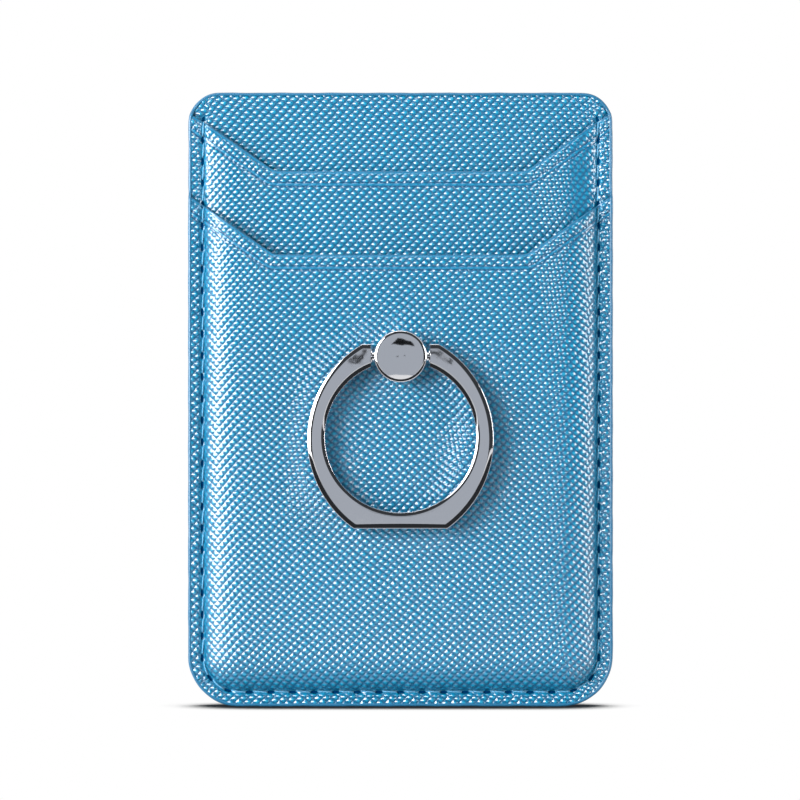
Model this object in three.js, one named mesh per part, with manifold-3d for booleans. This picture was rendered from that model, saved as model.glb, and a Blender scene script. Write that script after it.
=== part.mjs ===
// Stick-on card holder for the back of a phone: a stiff back panel, two open-topped
// pockets sewn round three sides, and a finger ring that folds and swivels on a riveted post.
// Millimetres. The finished part has +Z up, +X to the right and its front facing -Y.
// The origin is the centre of the adhesive face, which lies in the plane Y = 0.
import * as THREE from "three";
import { mergeVertices } from "three/addons/utils/BufferGeometryUtils.js";
import Module from "manifold-3d";

const wasm = await Module();
wasm.setup();

// Overall outline, over the painted edge
const width = 65;
const height = 94;
const topCorner = 4.75;
const bottomCorner = 7.8;

// Sheet thicknesses, from the phone outwards
const adhesiveThick = 0.8;
const backLeatherThick = 0.7;
const boardThick = 0.6;
const facingThick = 0.7;
const pocketLeatherThick = 0.7;
const liningThick = 0.2;
const foamThick = 1.2;

// A slot takes one bank card, 0.76 mm thick and 54 mm wide
const slotGap = 0.85;

// Painted edges and the pad that sticks to the phone
const paintThick = 0.3;
const paintChamfer = 0.15;
const paintGap = 0.02;
const adhesiveMargin = 4.6;
const adhesiveCorner = 4;

// Pocket mouths: a level run with a slope up to each side
const mouthDrop = 12.3; // level run of the rear mouth, below the top edge
const pocketStep = 12.85; // from the rear mouth down to the front mouth
const mouthHalfRun = 19.3;
const mouthSlope = THREE.MathUtils.degToRad(35);
const mouthRound = 1.4;
const creaseDrop = 1.9; // crease line below the mouth
const creaseWidth = 0.5;
const creaseDepth = 0.15;

// Seam round three sides
const seamMargin = 2.3;
const seamTopMargin = 4; // first needle hole, below the top edge
const stitchPitch = 3.32;
const threadRadius = 0.22;
const threadRise = 0.16;
const channelRadius = 0.5;
const seamRampBefore = 0.3;
const seamRampAfter = 1.1;

// Moulded shoulders: where each surface leaves the seam, and how wide its shoulder is
const seamLand = 0.4; // flat leather inside the stitches
const leatherWall = 0.6; // leather, measured across its steep shoulder
const frontShoulder = 4;
const liningShoulder = 1.4;
const rearShoulder = 1.4;
const slotShoulder = 1;
const fitGap = 0.05;
const shoulderSteps = 5;

// Finger ring: the bore for the finger, and the metal round it
const ringBoreRadius = 11.65;
const ringBoreLift = 0.35; // bore's centre above the outline's centre
const ringSideWall = 2.47;
const ringFootWall = 2.25;
const ringHeadWall = 2.4;
const ringSideOffset = 2.5; // each side arc is centred this far past the middle
const ringEndGap = 0.53; // from each end of the ring to the post's head
const ringThick = 2.4;
const ringBevel = 0.45;
const pinDrop = 1.88; // hinge axis below the ring's head

// Hinge pins cast on the ring's ends
const pinRadius = 0.75;
const pinClearance = 0.09;
const pinDepth = 2.2; // how far each pin reaches into the post
const pinShoulderRadius = 1.2;
const pinShoulderLength = 0.22;

// Post, and the parts that hold it in the front pocket
const postHeight = 6.45; // above the centre of the part
const headRadius = 3.97;
const headThick = 0.75;
const headBevel = 0.5;
const headDome = 0.08;
const headProud = 0.3; // above the ring's front face
const drumRadius = 3.6;
const shankRadius = 1.5;
const shankClearance = 0.08;
const tailRadius = 2.4;
const tailThick = 0.35;
const hingeLift = 2.25; // hinge axis above the leather
const plateRadius = 8;
const plateThick = 0.5;
const collarWall = 0.75;
const collarClearance = 0.12;
const washerRadius = 2.9;
const washerThick = 0.22;
const drumSeatGap = 0.06;

// Heights worked out from the outline
const rearMouthHeight = height / 2 - mouthDrop;
const frontMouthHeight = rearMouthHeight - pocketStep;
const seamTop = height / 2 - seamTopMargin;

const roundSides = 40;
const curveSteps = 7;
const far = 60; // reach of a cutting tool past the part

// Depths from the phone outwards, each worked out from the sheets below it
const backLeatherZ = adhesiveThick;
const boardZ = backLeatherZ + backLeatherThick;
const facingZ = boardZ + boardThick;
const rearSeamZ = facingZ + facingThick;
const frontSeamZ = rearSeamZ + pocketLeatherThick;
const rearFaceZ = frontSeamZ + slotGap;
const liningTopZ = frontSeamZ + liningThick;
const frontFlangeZ = liningTopZ + pocketLeatherThick;
const liningFaceZ = rearFaceZ + slotGap + liningThick;
const foamFaceZ = liningFaceZ + foamThick;
const frontFaceZ = foamFaceZ + pocketLeatherThick;

// Insets of the moulded surfaces from the outline, nested from the outside in
const frontBase = seamMargin + seamLand;
const foamBase = frontBase + leatherWall;
const liningBase = foamBase + fitGap;
const liningHollowBase = liningBase + 0.75 * liningThick;
const rearBase = liningHollowBase + fitGap;
const rearHollowBase = rearBase + 0.75 * leatherWall;
const foamEdge = foamBase + 0.9;

// The ring's outline, from its own centre
const ringHalfWidth = ringBoreRadius + ringSideWall;
const ringSideRadius = ringHalfWidth + ringSideOffset;
const ringFootDrop = ringBoreRadius - ringBoreLift + ringFootWall;
const ringHeadRise = ringBoreRadius + ringBoreLift + ringHeadWall;
const ringEndX = headRadius + ringEndGap;
const ringCentreY = postHeight - (ringHeadRise - pinDrop);
const hingeZ = frontFaceZ + hingeLift;
const headTopZ = hingeZ + ringThick / 2 + headProud;

// Solids

function solidOf(geometry) {
  const bare = geometry.clone();
  bare.deleteAttribute("normal");
  bare.deleteAttribute("uv");
  const merged = mergeVertices(bare, 1e-4);
  return new wasm.Manifold(
    new wasm.Mesh({
      numProp: 3,
      vertProperties: new Float32Array(merged.attributes.position.array),
      triVerts: new Uint32Array(merged.index.array),
    }),
  );
}

function geometryOf(solid) {
  const mesh = solid.getMesh();
  const geometry = new THREE.BufferGeometry();
  geometry.setAttribute("position", new THREE.BufferAttribute(mesh.vertProperties, 3));
  geometry.setIndex(new THREE.BufferAttribute(mesh.triVerts, 1));
  geometry.computeVertexNormals();
  return geometry;
}

// A flat sheet of the shape, between two depths
function sheet(shape, fromZ, toZ) {
  const geometry = new THREE.ExtrudeGeometry(shape, {
    depth: toZ - fromZ,
    bevelEnabled: false,
    curveSegments: curveSteps,
  });
  return solidOf(geometry.translate(0, 0, fromZ));
}

// The rounded outline, inset, with its top edge raised by extra
function outline(inset, extra = 0) {
  const x = width / 2 - inset;
  const bottom = -height / 2 + inset;
  const top = height / 2 - inset + extra;
  const rTop = Math.max(topCorner - inset, 0.5);
  const rBottom = Math.max(bottomCorner - inset, 0.5);
  const shape = new THREE.Shape();
  shape.moveTo(-x + rBottom, bottom);
  shape.lineTo(x - rBottom, bottom);
  shape.absarc(x - rBottom, bottom + rBottom, rBottom, -Math.PI / 2, 0);
  shape.lineTo(x, top - rTop);
  shape.absarc(x - rTop, top - rTop, rTop, 0, Math.PI / 2);
  shape.lineTo(-x + rTop, top);
  shape.absarc(-x + rTop, top - rTop, rTop, Math.PI / 2, Math.PI);
  shape.lineTo(-x, bottom + rBottom);
  shape.absarc(-x + rBottom, bottom + rBottom, rBottom, Math.PI, 1.5 * Math.PI);
  return shape;
}

// A cushion that fills the outline from its base inset, with an elliptical shoulder that
// rises from baseZ to faceZ, and straight sides below baseZ down to floorZ
function cushion(baseInset, shoulder, floorZ, baseZ, faceZ) {
  const body = far / 2;
  const geometry = new THREE.ExtrudeGeometry(outline(baseInset + shoulder, far), {
    depth: body,
    bevelThickness: faceZ - baseZ,
    bevelSize: shoulder,
    bevelSegments: shoulderSteps,
    curveSegments: curveSteps,
  });
  const block = solidOf(geometry.translate(0, 0, baseZ - body));
  return block.subtract(sheet(outline(-far, far), -2 * far, floorZ));
}

// Everything above a pocket's mouth line, shifted outwards by offset, between two depths
function aboveMouth(mouthHeight, offset, fromZ = -far, toZ = far) {
  const y = mouthHeight + offset;
  const corner = mouthHalfRun - offset * Math.tan(mouthSlope / 2);
  const reach = width;
  const rise = (reach - corner) * Math.tan(mouthSlope);
  const round = mouthRound;
  const roundX = round * Math.cos(mouthSlope);
  const roundY = round * Math.sin(mouthSlope);
  const shape = new THREE.Shape();
  shape.moveTo(-reach, y + rise);
  shape.lineTo(-corner - roundX, y + roundY);
  shape.quadraticCurveTo(-corner, y, -corner + round, y);
  shape.lineTo(corner - round, y);
  shape.quadraticCurveTo(corner, y, corner + roundX, y + roundY);
  shape.lineTo(reach, y + rise);
  shape.lineTo(reach, y + rise + far);
  shape.lineTo(-reach, y + rise + far);
  shape.closePath();
  return sheet(shape, fromZ, toZ);
}

// A crease of even depth that follows the mouth across the moulded face
function crease(block, mouthHeight) {
  const band = aboveMouth(mouthHeight, -creaseDrop - creaseWidth / 2).subtract(
    aboveMouth(mouthHeight, -creaseDrop + creaseWidth / 2),
  );
  return band.subtract(block.translate(0, 0, -creaseDepth));
}

// A round bar between two depths on the post's axis
function bar(radius, fromZ, toZ) {
  const geometry = new THREE.CylinderGeometry(radius, radius, toZ - fromZ, roundSides);
  geometry.rotateX(Math.PI / 2);
  return solidOf(geometry.translate(0, postHeight, (fromZ + toZ) / 2));
}

// A turned part on the post's axis, from [radius, depth] pairs that run outwards and forwards
function turned(profile) {
  const points = profile.map(([radius, z]) => new THREE.Vector2(radius, z));
  const geometry = new THREE.LatheGeometry(points, roundSides);
  geometry.rotateX(Math.PI / 2);
  return solidOf(geometry.translate(0, postHeight, 0));
}

// Seam

// The seam's plan: down the left side, along the bottom and up the right side
function seamPlan() {
  const x = width / 2 - seamMargin;
  const bottom = -height / 2 + seamMargin;
  const r = bottomCorner - seamMargin;
  const plan = new THREE.Path();
  plan.moveTo(-x, seamTop);
  plan.lineTo(-x, bottom + r);
  plan.absarc(-x + r, bottom + r, r, Math.PI, 1.5 * Math.PI);
  plan.lineTo(x - r, bottom);
  plan.absarc(x - r, bottom + r, r, -Math.PI / 2, 0);
  plan.lineTo(x, seamTop);
  return plan;
}

// Height of a pocket's mouth where the seam crosses it
function mouthAtSeam(mouthHeight) {
  return mouthHeight + (width / 2 - seamMargin - mouthHalfRun) * Math.tan(mouthSlope);
}

// Depth of the leather under the stitches: the seam steps down past each mouth
function seamDepth(y) {
  const steps = [
    [mouthAtSeam(frontMouthHeight), frontFlangeZ, frontSeamZ],
    [mouthAtSeam(rearMouthHeight), frontSeamZ, rearSeamZ],
  ];
  let z = frontFlangeZ;
  for (const [mouth, upper, lower] of steps) {
    const share = (y - mouth + seamRampBefore) / (seamRampBefore + seamRampAfter);
    z -= (upper - lower) * THREE.MathUtils.clamp(share, 0, 1);
  }
  return z;
}

// A polyline that an extrusion follows ring by ring
class Route extends THREE.Curve {
  constructor(points) {
    super();
    this.points = points;
  }

  getPointAt(u) {
    return this.points[Math.round(u * (this.points.length - 1))].clone();
  }

  getTangentAt(u) {
    const i = Math.round(u * (this.points.length - 1));
    const before = this.points[Math.max(i - 1, 0)];
    const after = this.points[Math.min(i + 1, this.points.length - 1)];
    return after.clone().sub(before).normalize();
  }
}

function tube(points, radius, sides) {
  const section = new THREE.Shape();
  for (let i = 0; i < sides; i += 1) {
    const angle = (2 * Math.PI * i) / sides;
    const corner = [radius * Math.cos(angle), radius * Math.sin(angle)];
    if (i) section.lineTo(...corner);
    else section.moveTo(...corner);
  }
  section.closePath();
  const geometry = new THREE.ExtrudeGeometry(section, {
    steps: points.length - 1,
    extrudePath: new Route(points),
  });
  return solidOf(geometry);
}

// The groove that the stitches pull into the leather
function stitchChannel(depthAt) {
  const plan = seamPlan();
  const length = plan.getLength();
  const x = width / 2 - seamMargin;
  const r = bottomCorner - seamMargin;
  const bottom = -height / 2 + seamMargin;
  const side = [seamTop + channelRadius];
  for (const mouth of [mouthAtSeam(rearMouthHeight), mouthAtSeam(frontMouthHeight)]) {
    side.push(mouth + seamRampAfter, mouth - seamRampBefore);
  }
  const left = side.filter((y) => y <= side[0]).map((y) => new THREE.Vector2(-x, y));
  const arcStart = (seamTop - bottom - r) / length;
  const arcEnd = arcStart + (r * Math.PI) / 2 / length;
  const corner = [];
  for (let i = 0; i <= curveSteps; i += 1) {
    corner.push(plan.getPointAt(arcStart + ((arcEnd - arcStart) * i) / curveSteps));
  }
  const half = [...left, ...corner];
  const mirrored = half.map((p) => new THREE.Vector2(-p.x, p.y)).reverse();
  const route = [...half, ...mirrored].map((p) => new THREE.Vector3(p.x, p.y, depthAt(p.y)));
  return tube(route, channelRadius, 8);
}

// One thread of the lockstitch: it lies on the leather between the needle holes and dips at each
function stitches(depthAt, outwards) {
  const plan = seamPlan();
  const count = Math.round(plan.getLength() / stitchPitch);
  const rise = [-threadRise, threadRise, threadRise];
  const route = [];
  for (let i = 0; i <= count * rise.length; i += 1) {
    const p = plan.getPointAt(i / (count * rise.length));
    const z = depthAt(p.y) + outwards * rise[i % rise.length];
    route.push(new THREE.Vector3(p.x, p.y, z));
  }
  return tube(route, threadRadius, 6);
}

// Pieces

const layerOutline = outline(paintThick + paintGap);
const layerBlock = sheet(layerOutline, -far, far);
const frontChannel = stitchChannel(seamDepth);
const backChannel = stitchChannel(() => backLeatherZ);

function adhesivePad() {
  const x = width / 2 - adhesiveMargin;
  const y = height / 2 - adhesiveMargin;
  const r = adhesiveCorner;
  const shape = new THREE.Shape();
  shape.moveTo(-x + r, -y);
  shape.absarc(x - r, -y + r, r, -Math.PI / 2, 0);
  shape.absarc(x - r, y - r, r, 0, Math.PI / 2);
  shape.absarc(-x + r, y - r, r, Math.PI / 2, Math.PI);
  shape.absarc(-x + r, -y + r, r, Math.PI, 1.5 * Math.PI);
  return sheet(shape, 0, adhesiveThick);
}

function backLeather() {
  return sheet(layerOutline, backLeatherZ, boardZ).subtract(backChannel);
}

function stiffenerBoard() {
  return sheet(layerOutline, boardZ, facingZ);
}

function facingLeather() {
  return sheet(layerOutline, facingZ, rearSeamZ).subtract(frontChannel);
}

// The rear pocket's sheet before its mouth is cut
function rearBlank() {
  const outer = sheet(outline(-1, far), rearSeamZ, frontSeamZ).add(
    cushion(rearBase, rearShoulder, rearSeamZ, frontSeamZ, rearFaceZ),
  );
  const hollow = cushion(
    rearHollowBase,
    slotShoulder,
    rearSeamZ - 1,
    rearSeamZ,
    rearSeamZ + slotGap,
  );
  return { outer, body: outer.subtract(hollow) };
}

// The front pocket's leather, foam and lining as one blank, and the surfaces between them
function frontBlank() {
  const outer = sheet(outline(-1, far), liningTopZ, frontFlangeZ).add(
    cushion(frontBase, frontShoulder, liningTopZ, frontFlangeZ, frontFaceZ),
  );
  const underLeather = cushion(
    foamBase,
    frontShoulder - leatherWall,
    liningTopZ - 1,
    liningTopZ,
    foamFaceZ,
  );
  const lining = sheet(outline(-1, far), frontSeamZ, liningTopZ).add(
    cushion(liningBase, liningShoulder, frontSeamZ, liningTopZ, liningFaceZ),
  );
  const slot = cushion(
    liningHollowBase,
    liningShoulder - fitGap,
    frontSeamZ - 1,
    frontSeamZ,
    liningFaceZ - liningThick,
  );
  return { outer, underLeather, lining, slot, body: outer.add(lining).subtract(slot) };
}

const rear = rearBlank();
const front = frontBlank();

function rearPocketLeather() {
  return rear.body
    .subtract(aboveMouth(rearMouthHeight, 0))
    .subtract(crease(rear.outer, rearMouthHeight))
    .intersect(layerBlock)
    .subtract(frontChannel);
}

function frontPocketLeather() {
  const boreRadius = shankRadius + shankClearance + collarWall + collarClearance;
  return front.outer
    .subtract(front.underLeather)
    .subtract(aboveMouth(frontMouthHeight, 0))
    .subtract(crease(front.outer, frontMouthHeight))
    .intersect(layerBlock)
    .subtract(frontChannel)
    .subtract(bar(boreRadius, foamFaceZ - 1, frontFaceZ + 1));
}

function frontFoamPad() {
  const plateSeat = foamFaceZ - plateThick - fitGap;
  const tailRoom = Math.max(washerRadius, tailRadius) + 0.3;
  return cushion(
    foamBase + fitGap,
    frontShoulder - leatherWall,
    liningTopZ + fitGap,
    liningTopZ + fitGap,
    foamFaceZ - paintGap,
  )
    .intersect(sheet(outline(foamEdge, far), -far, far))
    .subtract(
      cushion(liningBase - fitGap, liningShoulder, -far / 4, liningTopZ, liningFaceZ + paintGap),
    )
    .subtract(aboveMouth(frontMouthHeight, 0))
    .subtract(bar(plateRadius + fitGap, plateSeat, foamFaceZ + 1))
    .subtract(bar(tailRoom, liningFaceZ - 1, foamFaceZ));
}

function frontLining() {
  return front.lining
    .subtract(front.slot)
    .subtract(aboveMouth(frontMouthHeight, 0))
    .intersect(layerBlock);
}

// A painted cut edge that runs along a mouth, over the full thickness of its pocket
function mouthPaint(body, mouthHeight) {
  return body
    .intersect(aboveMouth(mouthHeight, paintGap))
    .subtract(aboveMouth(mouthHeight, paintThick))
    .intersect(layerBlock)
    .subtract(frontChannel);
}

// The painted outer edge: one bead round the whole outline, stepped down past each mouth
function edgePaint() {
  const bead = new THREE.ExtrudeGeometry(outline(0), {
    depth: frontFlangeZ - backLeatherZ - 2 * paintChamfer,
    bevelThickness: paintChamfer,
    bevelSize: paintChamfer,
    bevelOffset: -paintChamfer,
    bevelSegments: 1,
    curveSegments: curveSteps,
  });
  return solidOf(bead.translate(0, 0, backLeatherZ + paintChamfer))
    .subtract(sheet(outline(paintThick), -far, far))
    .subtract(aboveMouth(frontMouthHeight, paintThick, frontSeamZ, far))
    .subtract(aboveMouth(rearMouthHeight, paintThick, rearSeamZ, far));
}

// A steel plate under the leather, with a collar that carries the post through it
function basePlate() {
  const inner = shankRadius + shankClearance;
  const outer = inner + collarWall;
  return turned([
    [inner, foamFaceZ - plateThick],
    [plateRadius, foamFaceZ - plateThick],
    [plateRadius, foamFaceZ - paintGap],
    [outer, foamFaceZ - paintGap],
    [outer, frontFaceZ + drumSeatGap],
    [inner, frontFaceZ + drumSeatGap],
    [inner, foamFaceZ - plateThick],
  ]);
}

function frictionWasher() {
  const inner = shankRadius + shankClearance;
  const backZ = foamFaceZ - plateThick - fitGap - washerThick;
  return turned([
    [inner, backZ],
    [washerRadius, backZ],
    [washerRadius, backZ + washerThick],
    [inner, backZ + washerThick],
    [inner, backZ],
  ]);
}

function swivelPost() {
  const tailZ = foamFaceZ - plateThick - washerThick - 2 * fitGap;
  const seatZ = frontFaceZ + 2 * drumSeatGap;
  const post = turned([
    [0, tailZ - tailThick],
    [tailRadius, tailZ - tailThick],
    [tailRadius, tailZ],
    [shankRadius, tailZ],
    [shankRadius, seatZ],
    [drumRadius, seatZ],
    [drumRadius, headTopZ - headThick],
    [headRadius, headTopZ - headThick],
    [headRadius, headTopZ - headBevel],
    [headRadius - 0.3 * headBevel, headTopZ - 0.3 * headBevel],
    [headRadius - headBevel, headTopZ],
    [0, headTopZ + headDome],
  ]);
  const bore = new THREE.CylinderGeometry(
    pinRadius + pinClearance,
    pinRadius + pinClearance,
    2 * headRadius + 2,
    roundSides,
  );
  bore.rotateZ(Math.PI / 2);
  return post.subtract(solidOf(bore.translate(0, postHeight, hingeZ)));
}

// The ring's outline: two long side arcs between a flat head and a flat foot, open at the post
function ringShape() {
  const footAngle = Math.asin(ringFootDrop / ringSideRadius);
  const headAngle = Math.asin(ringHeadRise / ringSideRadius);
  const boreAngle = Math.acos(ringEndX / ringBoreRadius);
  const shape = new THREE.Shape();
  shape.absarc(-ringSideOffset, 0, ringSideRadius, -footAngle, headAngle);
  shape.lineTo(ringEndX, ringHeadRise);
  shape.absarc(0, ringBoreLift, ringBoreRadius, boreAngle, Math.PI - boreAngle, true);
  shape.lineTo(-ringEndX, ringHeadRise);
  shape.absarc(ringSideOffset, 0, ringSideRadius, Math.PI - headAngle, Math.PI + footAngle);
  shape.closePath();
  return shape;
}

function fingerRing() {
  const body = new THREE.ExtrudeGeometry(ringShape(), {
    depth: ringThick - 2 * ringBevel,
    bevelThickness: ringBevel,
    bevelSize: ringBevel,
    bevelOffset: -ringBevel,
    bevelSegments: 2,
    curveSegments: 2 * curveSteps,
  });
  let ring = solidOf(body.translate(0, ringCentreY, hingeZ - ringThick / 2 + ringBevel));
  const anchor = 1.5; // how far each pin is rooted in the ring's end
  for (const side of [-1, 1]) {
    const pinLength = ringEndX + anchor - (headRadius - pinDepth);
    const pin = new THREE.CylinderGeometry(pinRadius, pinRadius, pinLength, roundSides);
    pin.rotateZ(Math.PI / 2);
    pin.translate(side * (ringEndX + anchor - pinLength / 2), postHeight, hingeZ);
    const shoulderLength = pinShoulderLength + anchor;
    const shoulder = new THREE.CylinderGeometry(
      pinShoulderRadius,
      pinShoulderRadius,
      shoulderLength,
      roundSides / 2,
    );
    shoulder.rotateZ(Math.PI / 2);
    const shoulderX = ringEndX - pinShoulderLength + shoulderLength / 2;
    shoulder.translate(side * shoulderX, postHeight, hingeZ);
    ring = ring.add(solidOf(pin)).add(solidOf(shoulder));
  }
  return ring;
}

// Materials

function finish(color, roughness, metalness = 0) {
  return new THREE.MeshStandardMaterial({ color, roughness, metalness });
}

const blueLeather = finish(0x3a97c9, 0.4, 0.3);
const bluePaint = finish(0x2f86b8, 0.35);
const blueThread = finish(0x3f93c4, 0.7);
const chrome = finish(0xc8c8cc, 0.1, 1);
const steel = finish(0xb0b2b5, 0.35, 1);
const board = finish(0x8a7f70, 0.9);
const foam = finish(0x303338, 0.95);
const lining = finish(0x3a4a58, 0.9);
const adhesive = finish(0xd5d7d8, 0.6);

// Assembly: the pieces are drawn with +Y up and the front towards +Z, then stood up
const cardHolder = new THREE.Group();
const upright = new THREE.Group();
upright.rotation.x = Math.PI / 2;
cardHolder.add(upright);

function place(name, solid, material) {
  const mesh = new THREE.Mesh(geometryOf(solid), material);
  mesh.name = name;
  upright.add(mesh);
}

place("adhesive_pad", adhesivePad(), adhesive);
place("back_leather", backLeather(), blueLeather);
place("stiffener_board", stiffenerBoard(), board);
place("facing_leather", facingLeather(), blueLeather);
place("rear_pocket_leather", rearPocketLeather(), blueLeather);
place("rear_mouth_edge_paint", mouthPaint(rear.body, rearMouthHeight), bluePaint);
place("front_pocket_lining", frontLining(), lining);
place("front_pocket_foam", frontFoamPad(), foam);
place("front_pocket_leather", frontPocketLeather(), blueLeather);
place("front_mouth_edge_paint", mouthPaint(front.body, frontMouthHeight), bluePaint);
place("outer_edge_paint", edgePaint(), bluePaint);
place("needle_thread", stitches(seamDepth, 1), blueThread);
place("bobbin_thread", stitches(() => backLeatherZ, -1), blueThread);
place("base_plate", basePlate(), steel);
place("friction_washer", frictionWasher(), steel);
place("swivel_post", swivelPost(), chrome);
place("finger_ring", fingerRing(), chrome);

export default cardHolder;
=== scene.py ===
import math

import bmesh
import bpy
import numpy as np
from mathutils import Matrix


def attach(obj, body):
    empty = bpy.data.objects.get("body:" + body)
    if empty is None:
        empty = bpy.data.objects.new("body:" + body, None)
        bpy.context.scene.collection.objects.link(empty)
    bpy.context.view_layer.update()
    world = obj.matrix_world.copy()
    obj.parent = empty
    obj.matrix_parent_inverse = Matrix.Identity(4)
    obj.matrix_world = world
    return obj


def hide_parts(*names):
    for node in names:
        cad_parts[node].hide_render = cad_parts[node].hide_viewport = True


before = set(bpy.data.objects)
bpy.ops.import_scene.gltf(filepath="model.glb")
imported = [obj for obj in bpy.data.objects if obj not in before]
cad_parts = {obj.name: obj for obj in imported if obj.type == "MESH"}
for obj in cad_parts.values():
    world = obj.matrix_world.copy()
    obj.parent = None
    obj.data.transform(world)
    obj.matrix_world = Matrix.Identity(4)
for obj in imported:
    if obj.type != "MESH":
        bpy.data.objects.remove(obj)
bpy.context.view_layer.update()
scene = bpy.context.scene
print("frame loaded")

# Sizes are millimetres in the part's own axes: x right, y up, depth forwards from the phone.
outline = {"width": 65, "height": 94, "topCorner": 4.75, "bottomCorner": 7.8, "paint": 0.32}
depths = {
    "pad": 0.8, "backLeather": 1.5, "board": 2.1, "facing": 2.8, "rearFlange": 3.5, "liningFlange": 3.7,
    "rearFace": 4.35, "frontFlange": 4.4, "liningFace": 5.4, "frontFace": 7.3,
}
mouth = {"rear": 34.7, "front": 21.85, "halfRun": 19.3, "slope": math.tan(math.radians(35)), "round": 0.5}
seam = {"inset": 2.3, "top": 43.0, "pitch": 3.301}
# the groove under the stitches and the puckers beside it, each pucker as (inset, half width)
sewing = {"groove": 0.24, "hole": 0.2, "width": 0.36, "pucker": 0.07, "outer": (1.5, 0.55),
          "inner": (3.3, 0.7), "fadeStart": 0.8, "fadeRun": 1.2}
# the lines pressed below a mouth, as distances from its edge
crease = {"lines": (1.62, 2.2), "width": 0.15, "depth": 0.13, "ridge": 1.91, "ridgeWidth": 0.12, "rise": 0.03}
# a sheet's grid: fine bands at the seams and the mouth, and the rows that bend into the mouth's slope
plan = {"seamBand": 7, "topBand": 2, "mouthBand": 3, "mouthStep": 0.14, "bendStart": 26, "bendEnd": 4,
        "noMouth": 50}
slopeShare = 0.35
halfWidth = outline["width"] / 2
halfHeight = outline["height"] / 2
millimetre = 0.001


def gauss(x, middle, width):
    return np.exp(-(((x - middle) / width) ** 2))


def ease(x, low, high):
    # 0 below low, 1 above high, with a smooth cubic between
    t = np.clip((x - low) / (high - low), 0, 1)
    return t * t * (3 - 2 * t)


def ripple(x, y, scale, seed):
    # a sum of seven waves in turned directions: a smooth height that stays near -1 to 1
    made = np.random.default_rng(seed)
    waves = 7
    angles, phases = made.uniform(0, math.pi, waves), made.uniform(0, 6.28, waves)
    rates = made.uniform(0.6, 1.7, waves)
    total = 0
    for angle, phase, rate in zip(angles, phases, rates):
        total = total + np.sin(rate * (x * math.cos(angle) + y * math.sin(angle)) / scale + phase)
    return total / 4


# Meshes
def addMesh(name, points, faces, material, body="holder", uv=None, marks=None, sharp=50, weld=False):
    # points are (x, y, depth) in millimetres; the part stands with its front towards -Y
    world = np.column_stack((points[:, 0], -points[:, 2], points[:, 1])) / 1000
    mesh = bpy.data.meshes.new(name)
    mesh.from_pydata(world, [], faces)
    if uv is not None:
        layer = mesh.uv_layers.new(name="grain")
        corners = np.empty(len(mesh.loops), dtype=np.int32)
        mesh.loops.foreach_get("vertex_index", corners)
        layer.data.foreach_set("uv", uv[corners].astype(np.float32).ravel())
    for key, values in (marks or {}).items():
        mesh.attributes.new(key, "FLOAT", "POINT").data.foreach_set("value", values.astype(np.float32))
    if weld:
        work = bmesh.new()
        work.from_mesh(mesh)
        bmesh.ops.remove_doubles(work, verts=work.verts, dist=2e-7)
        bmesh.ops.dissolve_degenerate(work, edges=work.edges, dist=1e-8)
        work.to_mesh(mesh)
        work.free()
    mesh.update()
    mesh.polygons.foreach_set("use_smooth", np.ones(len(mesh.polygons), dtype=bool))
    mesh.set_sharp_from_angle(angle=math.radians(sharp))
    mesh.materials.append(material)
    piece = bpy.data.objects.new(name, mesh)
    scene.collection.objects.link(piece)
    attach(piece, body)
    return piece


def gridFaces(rows, columns, closeRows=False, closeColumns=False, flip=False):
    # quads of a rows x columns grid, counter-clockwise when columns run right and rows run up
    r = np.arange(rows if closeRows else rows - 1)
    c = np.arange(columns if closeColumns else columns - 1)
    r, c = np.meshgrid(r, c, indexing="ij")
    nextR = (r + 1) % rows
    nextC = (c + 1) % columns
    quads = np.stack((r * columns + c, r * columns + nextC, nextR * columns + nextC, nextR * columns + c), -1)
    quads = quads.reshape(-1, 4)
    return quads[:, ::-1] if flip else quads


def tubePoints(path, across, radius, sides):
    # circles carried along a path: across and its partner span each circle's plane
    tangent = np.gradient(path, axis=0)
    tangent /= np.linalg.norm(tangent, axis=1)[:, None]
    side = across - (across * tangent).sum(1)[:, None] * tangent
    side /= np.linalg.norm(side, axis=1)[:, None]
    other = np.cross(tangent, side)
    turn = np.linspace(0, 2 * np.pi, sides, endpoint=False)
    ring = np.cos(turn)[None, :, None] * side[:, None] + np.sin(turn)[None, :, None] * other[:, None]
    return path[:, None] + np.asarray(radius)[:, None, None] * ring


# Sheets of leather
def mouthRise(x, offset):
    # how far a line parallel to a mouth, offset inwards, has risen above its level run
    over = np.abs(x) - mouth["halfRun"] - offset * (math.sqrt(1 + mouth["slope"] ** 2) - 1) / mouth["slope"]
    soft = mouth["round"]
    return mouth["slope"] * 0.5 * (over + np.sqrt(over ** 2 + soft ** 2))


def roundCorners(x, y):
    # squares at the corners turn into quarter discs, so lines of equal inset stay parallel to the outline
    for radius, sign in ((outline["bottomCorner"], -1), (outline["topCorner"], 1)):
        p = np.abs(x) - (halfWidth - radius)
        q = sign * y - (halfHeight - radius)
        inside = (p > 0) & (q > 0)
        reach = np.maximum(p, q)
        angle = np.pi / 4 * np.minimum(p, q) / np.where(reach > 0, reach, 1)
        along, across = reach * np.cos(angle), reach * np.sin(angle)
        newP = np.where(p >= q, along, across)
        newQ = np.where(p >= q, across, along)
        x = np.where(inside, np.sign(x) * (halfWidth - radius + newP), x)
        y = np.where(inside, sign * (halfHeight - radius + newQ), y)
    return x, y


def spread(*spans):
    # marks from low to high of each span at about its step
    parts = []
    for low, high, step in spans:
        count = max(int(round((high - low) / step)), 1)
        parts.append(np.linspace(low, high, count, endpoint=False))
    return np.append(np.concatenate(parts), spans[-1][1])


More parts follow.
